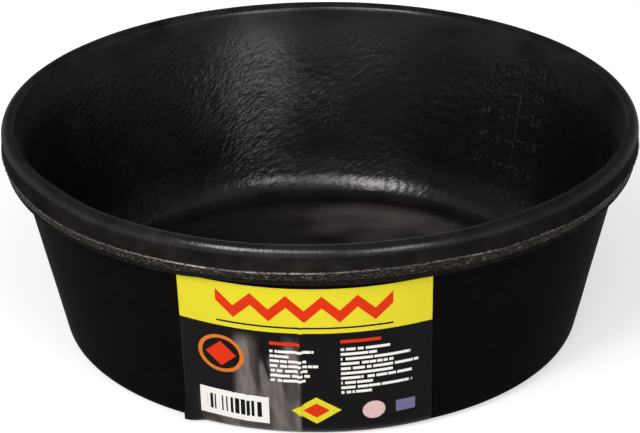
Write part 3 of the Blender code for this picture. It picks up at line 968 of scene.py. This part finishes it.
class Sheet:
    """The label's flat sheet, laid on the pan's wall and round its base corner."""

    def __init__(self, section, label):
        self.section = section
        self.label = label
        self.corner = section.pan.base_corner
        self.sine = sin(section.lean)
        self.cosine = cos(section.lean)
        self.corner_slant = (section.corner_middle + self.corner * self.cosine) / self.sine
        top_corner = section.outside(section.lip_foot - label.below_lip) / self.sine
        self.top_slant = sqrt(top_corner ** 2 - (label.width / 2) ** 2)

    def point(self, across, down, lift, straight=0.0):
        """A point of the sheet, close round the base corner where straight is 0, on the wall's line at 1."""
        section = self.section
        slant = hypot(across, self.top_slant - down)
        angle = self.label.angle + atan2(across, self.top_slant - down) / self.sine
        radius = slant * self.sine + lift * self.cosine
        height = (slant * self.sine - section.pan.base_radius) / section.slope - lift * self.sine
        if slant < self.corner_slant:
            turned = -section.lean - (self.corner_slant - slant) / self.corner
            round_radius = section.corner_middle + (self.corner + lift) * cos(turned)
            round_height = self.corner + (self.corner + lift) * sin(turned)
            radius = round_radius + (radius - round_radius) * straight
            height = round_height + (height - round_height) * straight
        return radius * cos(angle), radius * sin(angle), height

    def buckle(self, x, y, width):
        """1 on the slanted buckle to the left of the crease."""
        return bell(x, -17.6 + 0.22 * (y - 30.0), width)

    def curl(self, x, y):
        """1 at the curled lower left corner, 0 away from it."""
        return smooth(-42.0, -51.0, x) * smooth(62.0, BASE_BEND[1], y)

    def lift(self, x, y):
        """How far the film stands off the rubber in its crease, folds, buckle, waves and curled corner."""
        label = self.label
        loose = window(x, -34.0, -24.0, -2.2, -0.6) * smooth(20.0, 30.0, y)
        loose = max(loose, (1.0 - smooth(-4.0, 0.0, x)) * smooth(54.0, 64.0, y))
        crease_x = -1.1 - 0.026 * y + 0.35 * ripple(0.0, y / 9.0, 3.0)
        crease = bell(x, crease_x, 0.9) * smooth(14.0, 26.0, y)
        folds = bell(x, -27.2 - 0.04 * y, 0.45) * smooth(36.0, 44.0, y)
        folds += bell(x, -22.0 - 0.03 * y, 0.45) * smooth(36.0, 46.0, y)
        buckle = self.buckle(x, y, 0.8) * window(y, 27.0, 33.0, 43.0, 49.0)
        dent = bell(x, -15.8, 2.4) * bell(y, 51.5, 1.8)
        place = Vector((x / 5.5, y / 15.0, 0.0))
        waves = loose * (0.34 * (1.0 + noise.noise(place)) + 0.12 * noise.noise(place * 2.7))
        waves += 0.05 * (1.0 + ripple(x / 14.0, y / 18.0, 5.0))
        bend = smooth(*BASE_BEND, y)
        edges = 0.10 * smooth(46.0, 51.0, abs(x)) * (1.0 + ripple(x, y / 7.0, 9.0))
        edges += 0.30 * bend * (1.0 + ripple(x / 6.0, 0.0, 11.0))
        lift = 0.30 * folds + 0.55 * buckle + 0.70 * dent + 0.7 * waves + edges
        lift = (crease * label.crease + MILLIMETRE * lift) * (1.0 - 0.85 * bend)
        return label.gap + lift + label.curl * self.curl(x, y)

    def film_sheen_mask(self, x, y):
        """The film's painted sheen: how pale its black looks, in soft upright streaks over its loose left
        part.
        """
        left_strip = window(x, -30.0, -25.5, -21.5, -17.5) * smooth(BAND_FOOT, 31.0, y)
        right_strip = window(x, -11.0, -6.0, *CREASE_SIDE) * smooth(BAND_FOOT, 34.0, y)
        buckle = self.buckle(x, y, 1.1) * (1.0 - smooth(44.0, 50.0, y))
        middle = window(x, -21.0, -17.0, -10.0, -6.0) * smooth(33.0, 41.0, y) * (1.0 - buckle)
        low = window(x, -51.0, -24.0, *CREASE_SIDE) * smooth(55.0, 70.0, y)
        folds = smooth(-0.30, 0.10, ripple(x / 4.6 - 0.05 * y, y / 21.0, 2.0))
        folds *= 0.75 + 0.5 * ripple(x / 1.9, y / 12.0, 8.0)
        return max(left_strip, right_strip, 0.85 * middle, 0.8 * low) * (0.30 + 0.70 * folds)


def label_mesh(section, label):
    """The film's fine sheet with its creases, and a texture map that is the flat sheet."""
    sheet = Sheet(section, label)
    work = bmesh.new()
    bmesh.ops.create_grid(work, x_segments=SHEET_GRID[0], y_segments=SHEET_GRID[1], size=0.5)
    layer = work.loops.layers.uv.new("sheet")
    film_sheen = work.verts.layers.float.new("film_sheen")
    for face in work.faces:
        for loop in face.loops:
            loop[layer].uv = (loop.vert.co.x + 0.5, loop.vert.co.y + 0.5)
    for vertex in work.verts:
        across = vertex.co.x * label.width
        down = (0.5 - vertex.co.y) * label.height
        place = (across / MILLIMETRE, down / MILLIMETRE)
        vertex[film_sheen] = sheet.film_sheen_mask(*place)
        vertex.co = sheet.point(across, down, sheet.lift(*place), sheet.curl(*place))
    mesh = mesh_from(work, "film_label")
    mesh.shade_smooth()
    return mesh


class Print(Shading):
    """Masks in millimetres on the flat sheet: across from its middle, down from its top."""

    def __init__(self, material, label):
        super().__init__(material)
        width = label.width / MILLIMETRE
        height = label.height / MILLIMETRE
        right, up, _ = self.outputs("ShaderNodeSeparateXYZ", {0: self.add("ShaderNodeUVMap", {})})
        self.across = right * width - width / 2
        self.down = up * -height + height
        self.flat = self.add("ShaderNodeCombineXYZ", {0: self.across, 1: self.down})

    def box(self, left, right, top, foot):
        """1 inside a box."""
        return self.across.stripe(left, right) * self.down.stripe(top, foot)

    def disc(self, across, down, radius):
        """1 inside a disc."""
        inputs = {0: self.flat, 1: (across, down, 0.0)}
        return self.add("ShaderNodeVectorMath", inputs, 1, operation="DISTANCE") < radius

    def diamond(self, across, down, half_width, half_height):
        """1 inside a diamond."""
        return abs(self.across - across) / half_width + abs(self.down - down) / half_height < 1.0

    def zigzag(self, left, right, middle, period, height, half_stroke):
        """1 on a zigzag ribbon."""
        swing = (self.across - left).calc("PINGPONG", period / 2)
        away = self.down - (swing * (2.0 * height / period) + (middle - height / 2))
        return away.stripe(-half_stroke, half_stroke) * self.across.stripe(left, right)

    def chance(self, value):
        """A random number that belongs to a value."""
        return self.add("ShaderNodeTexWhiteNoise", {"W": value}, noise_dimensions="1D")

    def dashes(self, left, right, top, pitch, count, seed):
        """1 on rows of short dashes of uneven length, as fine print looks from afar."""
        place = (self.down - top) / pitch
        row = place.calc("FLOOR")
        ink = place.calc("FRACT").stripe(0.22, 0.78) * row.stripe(-0.5, count - 0.5)
        width = right - left
        limit = self.chance(row + seed) * (width * 0.62) + (left + width * 0.38)
        spot = self.add("ShaderNodeCombineXYZ", {0: self.across, 1: row * 9.7, 2: seed})
        words = self.grain(spot, 0.62, 1.0) > 0.40
        return ink * (self.across < limit) * (self.across > left) * words

    def bars(self, left, right, top, foot, pitch):
        """1 on upright bars of uneven width."""
        cell = (self.across / pitch).calc("FLOOR")
        return (self.chance(cell) > 0.45) * self.box(left, right, top, foot)


def label_material(label):
    """Glossy printed film: a plain generic print over a painted sheen in streaks on its left part."""
    material = bpy.data.materials.new("printed_film")
    ink = Print(material, label)
    layers = [
        (ink.box(-52.0, 52.0, -1.0, BAND_FOOT), label.yellow),
        (ink.zigzag(-35.0, 35.0, 10.2, 14.0, 7.4, 3.0), label.red),
        (ink.box(-35.0, 35.0, 19.2, 20.1), label.black),
        (ink.box(-14.0, -2.0, 27.0, 28.6), label.red),
        (ink.dashes(-14.0, 6.0, 30.6, 2.5, 7, 3.0), label.white),
        (ink.box(14.0, 30.0, 26.0, 27.6), label.red),
        (ink.dashes(14.0, 46.0, 29.6, 2.5, 10, 11.0), label.white),
        (ink.disc(-34.0, 37.0, 9.6), label.orange),
        (ink.disc(-34.0, 37.0, 7.9), label.black),
        (ink.diamond(-34.0, 37.0, 6.4, 6.4), label.red),
        (ink.box(-44.0, -15.0, 56.5, 70.5), label.white),
        (ink.bars(-41.0, -18.0, 59.5, 67.5, 0.62), label.black),
        (ink.diamond(4.0, 62.5, 10.0, 7.0), label.yellow),
        (ink.diamond(4.0, 62.5, 5.4, 3.8), label.red),
        (ink.disc(27.0, 64.0, 4.6), label.pink),
        (ink.box(36.0, 44.0, 61.0, 67.0), label.blue),
    ]
    # Painted sheen: the film's black is paler in streaks
    look = ink.blend(ink.attribute("film_sheen"), label.black, label.film_sheen)
    for mask, tone in layers:
        look = ink.blend(mask, look, tone)
    bump = ink.bump(ink.grain(ink.flat, 0.35, 3.0, 0.55), 0.0002, 0.6)
    ink.surface(label.roughness, label.specular, look, bump)
    return material


WHITE = (1.0, 1.0, 1.0, 1.0)


def floor_material(stage):
    """A pale floor that reads white to the camera and to reflections, and keeps the pan's shadow."""
    material = bpy.data.materials.new("pale_floor")
    look = Shading(material)
    look.nodes.clear()
    away = look.add("ShaderNodeVectorMath", {0: look.place()}, 1, operation="LENGTH")
    strength = look.seen() * (away.rise(0.10, 0.50) * 0.40 + 0.54)
    matt = look.add("ShaderNodeBsdfDiffuse", {"Color": (*[stage.floor_tone] * 3, 1.0)})
    glow = look.add("ShaderNodeEmission", {"Color": WHITE, "Strength": strength})
    both = look.add("ShaderNodeAddShader", {0: matt, 1: glow})
    look.outputs("ShaderNodeOutputMaterial", {"Surface": both})
    return material


def add_floor(stage):
    """The pale round floor."""
    work = bmesh.new()
    bmesh.ops.create_circle(work, cap_ends=True, segments=96, radius=stage.floor_radius)
    floor = link_object("floor", mesh_from(work, "floor"))
    floor.data.materials.append(floor_material(stage))


def light_world(stage):
    """A soft grey light all round, which the camera and reflections see as white under a dim ceiling."""
    world = bpy.data.worlds.new("studio")
    look = Shading(world)
    look.nodes.clear()
    _, _, up = look.outputs("ShaderNodeSeparateXYZ", {0: look.add("ShaderNodeTexCoord", {})})
    overhead = up.rise(0.12, 0.42) * (stage.ceiling - 1.0)
    strength = look.seen() * (overhead + (1.0 - stage.ambient)) + stage.ambient
    glow = look.add("ShaderNodeBackground", {"Color": WHITE, "Strength": strength})
    look.outputs("ShaderNodeOutputWorld", {"Surface": glow})
    bpy.context.scene.world = world


# Name, azimuth from the camera and elevation in degrees, distance, width, height and power
LAMPS = (
    ("key_left", -32.0, 32.0, 1.30, 0.34, 0.50, 8.2),
    ("key_edge", -10.0, 31.0, 1.30, 0.46, 0.46, 2.9),
    ("fill_right", 24.0, 19.0, 1.30, 0.44, 0.48, 5.0),
)
LAMP_TINT = (1.0, 0.95, 0.935)
LAMP_TARGET = Vector((0.0, 0.0, 0.06))


def add_lamps():
    """Soft boxes in front of the pan and above it."""
    for name, azimuth, elevation, distance, width, height, power in LAMPS:
        data = bpy.data.lights.new(name, "AREA")
        data.shape = "RECTANGLE"
        data.size = width
        data.size_y = height
        data.energy = power
        data.color = LAMP_TINT
        lamp = link_object(name, data)
        side = radians(azimuth)
        up = radians(elevation)
        away = Vector((sin(side) * cos(up), -cos(side) * cos(up), sin(up)))
        lamp.location = LAMP_TARGET + away * distance
        lamp.rotation_euler = away.to_track_quat("Z", "Y").to_euler()
        lamp.visible_camera = False


def add_camera(stage):
    """A camera in the photographed place: in front of the pan and above it, with a slight roll."""
    data = bpy.data.cameras.new("camera")
    data.sensor_width = 36.0
    data.lens = stage.lens
    data.shift_x = stage.shift
    data.clip_start = 0.05
    data.clip_end = 50.0
    camera = link_object("camera", data)
    camera.location = (0.0, -stage.camera_distance * cos(stage.camera_rise),
                       stage.rim_level + stage.camera_distance * sin(stage.camera_rise))
    towards = Vector((0.0, 0.0, stage.aim_height)) - camera.location
    turned = towards.to_track_quat("-Z", "Y").to_matrix() @ Matrix.Rotation(-stage.camera_roll, 3, "Z")
    camera.rotation_euler = turned.to_euler()
    bpy.context.scene.camera = camera


class FEEDPAN_OT_moulding(Operator):
    """Adds the moulded rubber pan"""

    bl_idname = "feed_pan.moulding"
    bl_label = "Moulding"

    def execute(self, context):
        section = Section(context.scene.feed_pan_sizes)
        rubber = context.scene.feed_pan_rubber
        materials = [rubber_material(rubber, "smooth_rubber", rubber.specular),
                     rubber_material(rubber, "matt_rubber", rubber.matt_specular)]
        mesh = turned_mesh("pan_moulding", section, rubber, materials)
        add_piece("pan_moulding", mesh, "pan")
        return {"FINISHED"}


class FEEDPAN_OT_scale(Operator):
    """Adds the raised measuring marks and their plain numbers"""

    bl_idname = "feed_pan.scale"
    bl_label = "Measuring scale"

    def execute(self, context):
        scale = Scale(Section(context.scene.feed_pan_sizes), context.scene.feed_pan_scale)
        material = scale_material(context.scene.feed_pan_rubber)
        marks = add_piece("measuring_marks", scale.lines_mesh(), "pan")
        numbers = add_piece("measuring_numbers", scale.numbers_mesh(), "pan")
        marks.data.materials.append(material)
        numbers.data.materials.append(material)
        return {"FINISHED"}


class FEEDPAN_OT_label(Operator):
    """Adds the creased film label on the front"""

    bl_idname = "feed_pan.label"
    bl_label = "Film label"

    def execute(self, context):
        label = context.scene.feed_pan_label
        mesh = label_mesh(Section(context.scene.feed_pan_sizes), label)
        mesh.materials.append(label_material(label))
        piece = add_piece("film_label", mesh, "label")
        film = piece.modifiers.new("film", "SOLIDIFY")
        film.thickness = label.film
        film.offset = 1.0
        return {"FINISHED"}


class FEEDPAN_OT_stage(Operator):
    """Adds the pale floor, the soft light and the camera"""

    bl_idname = "feed_pan.stage"
    bl_label = "Stage"

    def execute(self, context):
        stage = context.scene.feed_pan_stage
        add_floor(stage)
        light_world(stage)
        add_lamps()
        add_camera(stage)
        context.scene.view_settings.view_transform = "Standard"
        return {"FINISHED"}


GROUPS = (
    ("feed_pan_sizes", FeedPanSizes, FEEDPAN_OT_moulding),
    ("feed_pan_rubber", FeedPanRubber, None),
    ("feed_pan_scale", FeedPanScale, FEEDPAN_OT_scale),
    ("feed_pan_label", FeedPanLabel, FEEDPAN_OT_label),
    ("feed_pan_stage", FeedPanStage, FEEDPAN_OT_stage),
)


class FEEDPAN_PT_sidebar(Panel):
    """Lists the pan's sizes and finishes, with a button for each group of pieces"""

    bl_idname = "FEEDPAN_PT_sidebar"
    bl_label = "Rubber Feed Pan"
    bl_space_type = "VIEW_3D"
    bl_region_type = "UI"
    bl_category = "Feed Pan"

    def draw(self, context):
        for name, group, operator in GROUPS:
            box = self.layout.box()
            box.label(text=group.__doc__)
            settings = getattr(context.scene, name)
            for key in group.__annotations__:
                box.prop(settings, key)
            if operator:
                box.operator(operator.bl_idname)


CLASSES = [group for _, group, _ in GROUPS]
CLASSES += [operator for _, _, operator in GROUPS if operator]
CLASSES.append(FEEDPAN_PT_sidebar)


def register():
    for kind in CLASSES:
        bpy.utils.register_class(kind)
    for name, group, _ in GROUPS:
        setattr(bpy.types.Scene, name, PointerProperty(type=group))


def unregister():
    for name, _, _ in GROUPS:
        delattr(bpy.types.Scene, name)
    for kind in reversed(CLASSES):
        bpy.utils.unregister_class(kind)


def main():
    register()
    bpy.ops.feed_pan.moulding()
    bpy.ops.feed_pan.scale()
    bpy.ops.feed_pan.label()
    bpy.ops.feed_pan.stage()


if __name__ == "__main__":
    main()
